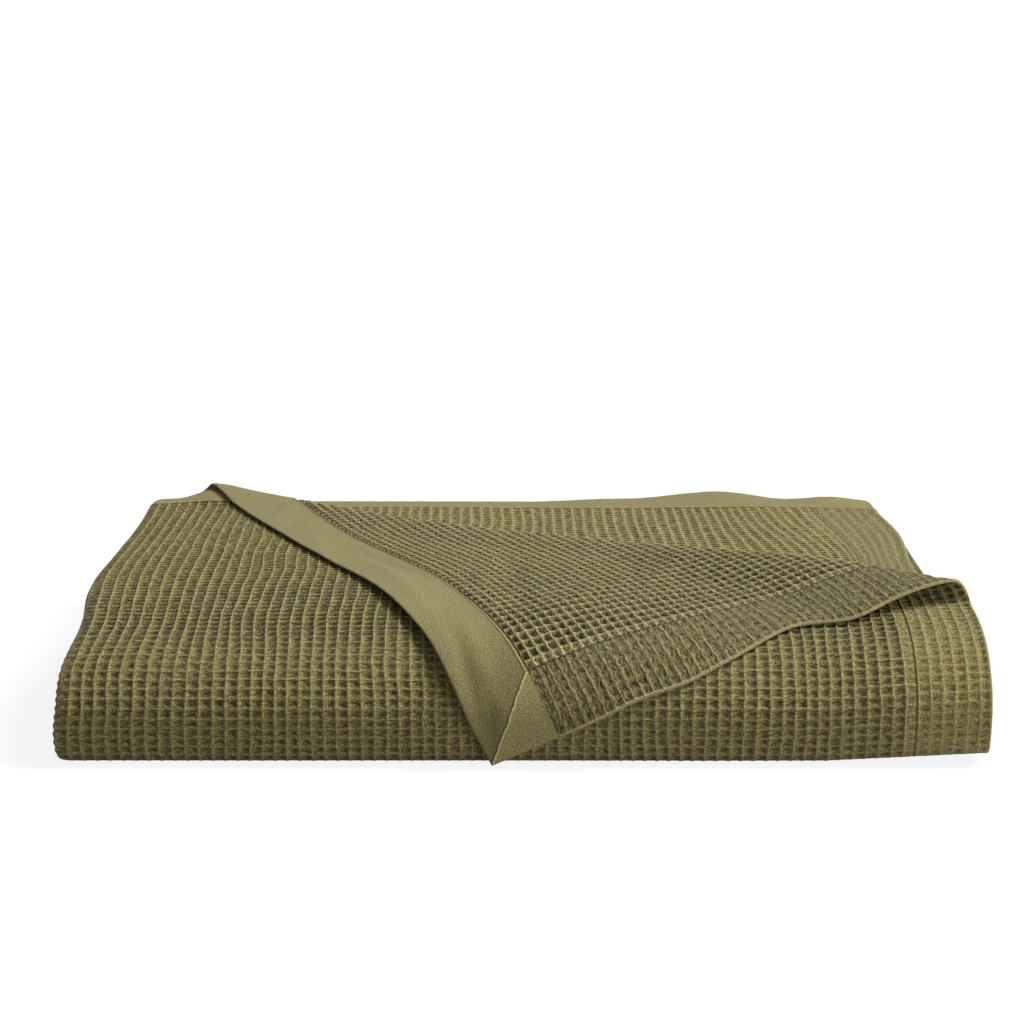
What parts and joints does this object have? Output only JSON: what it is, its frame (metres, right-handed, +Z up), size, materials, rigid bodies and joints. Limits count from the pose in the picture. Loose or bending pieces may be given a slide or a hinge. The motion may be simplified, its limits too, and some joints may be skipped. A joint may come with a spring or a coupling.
{
  "type": "folded waffle blanket",
  "caption": "Cotton waffle-weave blanket folded into a low pad, its soft front rolled over and one top corner turned back across it so the mitred tip reaches the floor.",
  "frame": {"origin": "centre of the box of the folded blanket, on the surface it lies on", "axes": "+X towards the right end seen from the front, where the free side hems are; +Y from the rolled front to the back; +Z up"},
  "size_m": [0.6232, 0.432, 0.1071],
  "materials": {
    "olive_cotton": "matt olive green cotton with a waffle weave and plain woven end bands"
  },
  "bodies": {
    "root": {"blanket": "olive_cotton"}
  },
  "joints": []
}
